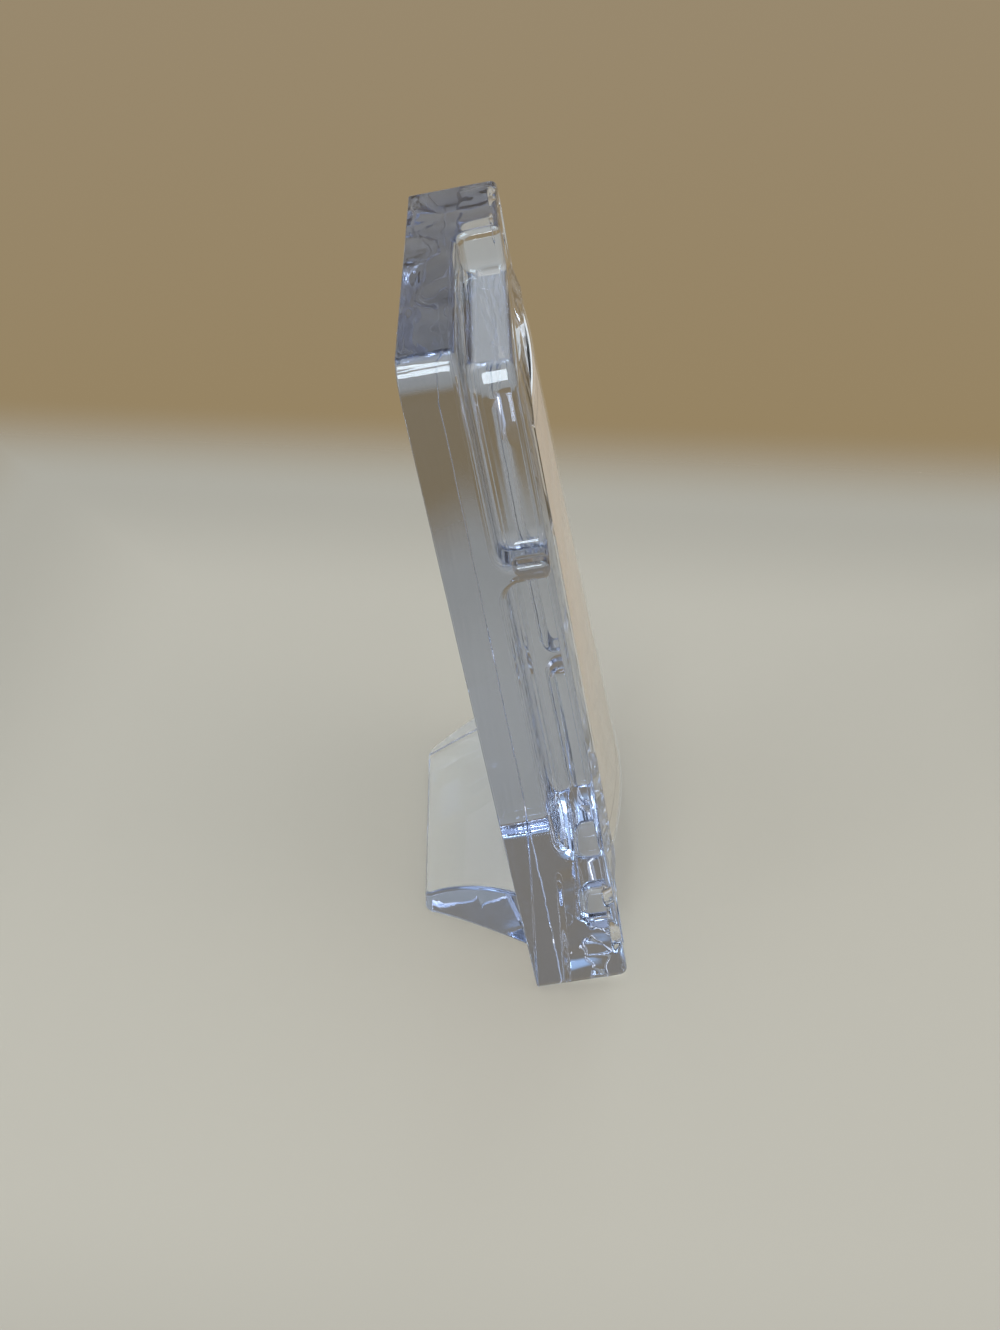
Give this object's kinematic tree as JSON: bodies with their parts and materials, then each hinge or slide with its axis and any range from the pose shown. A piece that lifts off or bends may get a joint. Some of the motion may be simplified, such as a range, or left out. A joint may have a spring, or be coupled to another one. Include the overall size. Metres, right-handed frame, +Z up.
{
  "type": "picture frame",
  "caption": "Clear pressed-glass picture frame with hearts sunk in opposite corners, leaning back on a glass foot, with a bowed print and cover film in a front recess.",
  "frame": {"origin": "on the table, under the middle of the whole frame's box", "axes": "+Z up, -Y out of the front of the frame, +X to the right as seen from the front"},
  "size_m": [0.128, 0.0586, 0.1811],
  "materials": {
    "clear_glass": "fire-polished pressed glass",
    "clear_adhesive": "clear cured adhesive",
    "card": "uncoated card",
    "print_paper": "matte peach print",
    "clear_film": "clear film"
  },
  "bodies": {
    "frame": {"glass_body": "clear_glass", "glass_foot": "clear_glass", "foot_bond": "clear_adhesive"},
    "card": {"backing_card": "card"},
    "print": {"photo_print": "print_paper"},
    "cover": {"cover_film": "clear_film"}
  },
  "joints": [
    {"name": "card_lift", "type": "slide", "parent": "frame", "child": "card", "axis": [0, -0.9836, 0.1805], "range_m": [0, 0.03]},
    {"name": "print_lift", "type": "slide", "parent": "card", "child": "print", "axis": [0, -0.9836, 0.1805], "range_m": [0, 0.03]},
    {"name": "cover_lift", "type": "slide", "parent": "print", "child": "cover", "axis": [0, -0.9836, 0.1805], "range_m": [0, 0.03]}
  ]
}
